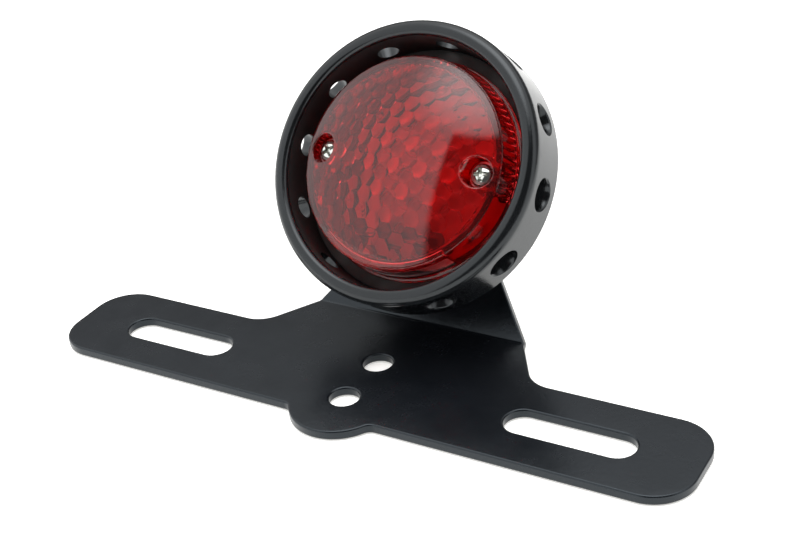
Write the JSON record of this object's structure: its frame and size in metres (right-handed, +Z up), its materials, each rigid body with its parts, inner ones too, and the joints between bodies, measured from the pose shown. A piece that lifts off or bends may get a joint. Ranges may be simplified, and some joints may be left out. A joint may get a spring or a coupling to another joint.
{
  "type": "tail light",
  "caption": "Round red motorcycle tail light in a drilled black ring, tilted back on a bent sheet bracket with slots for a number plate.",
  "frame": {"origin": "underside of the bracket's flat part, midway between its two round holes", "axes": "+X along the wings to the right as seen from in front of the lens, +Y towards the back, +Z up, square to the wings"},
  "size_m": [0.1952, 0.0975, 0.0855],
  "materials": {
    "powder_coat": "satin black powder coat on bent steel sheet",
    "ring_black": "satin black on turned aluminium",
    "housing_plastic": "fine grained black moulded plastic",
    "board_plastic": "black moulded plastic",
    "red_lens": "clear red moulded acrylic, glossy outside",
    "clear_window": "clear moulded acrylic",
    "rubber": "soft black rubber",
    "screw_chrome": "bright nickel plating",
    "zinc_steel": "zinc plated steel",
    "board_white": "white solder resist on glass-fibre board",
    "red_led": "red tinted epoxy",
    "clear_led": "water-clear epoxy",
    "resistor_tan": "tan lacquer on ceramic"
  },
  "bodies": {
    "root": {"bezel_ring": "ring_black", "board_screw_bottom": "zinc_steel", "board_screw_top": "zinc_steel", "bracket": "powder_coat", "cable_grommet": "rubber", "circuit_board": "board_white", "housing_pad": "rubber", "lamp_housing": "housing_plastic", "led_00": "red_led", "led_01": "red_led", "led_02": "red_led", "led_03": "red_led", "led_04": "red_led", "led_05": "red_led", "led_06": "red_led", "led_07": "red_led", "led_08": "red_led", "led_09": "red_led", "led_10": "red_led", "led_11": "red_led", "led_12": "red_led", "led_13": "red_led", "led_14": "red_led", "led_15": "red_led", "led_16": "red_led", "led_17": "red_led", "led_18": "red_led", "lens": "red_lens", "lens_gasket": "rubber", "lens_screw_left": "screw_chrome", "lens_screw_right": "screw_chrome", "mount_bolt_left": "zinc_steel", "mount_bolt_right": "zinc_steel", "mount_nut_left": "zinc_steel", "mount_nut_right": "zinc_steel", "mount_washer_left": "zinc_steel", "mount_washer_right": "zinc_steel", "plate_led_holder": "board_plastic", "plate_led_left": "clear_led", "plate_led_right": "clear_led", "plate_window": "clear_window", "polarity_diode": "board_plastic", "resistor_1": "resistor_tan", "resistor_2": "resistor_tan", "resistor_3": "resistor_tan", "resistor_4": "resistor_tan", "spring_washer_left": "zinc_steel", "spring_washer_right": "zinc_steel"}
  },
  "joints": []
}
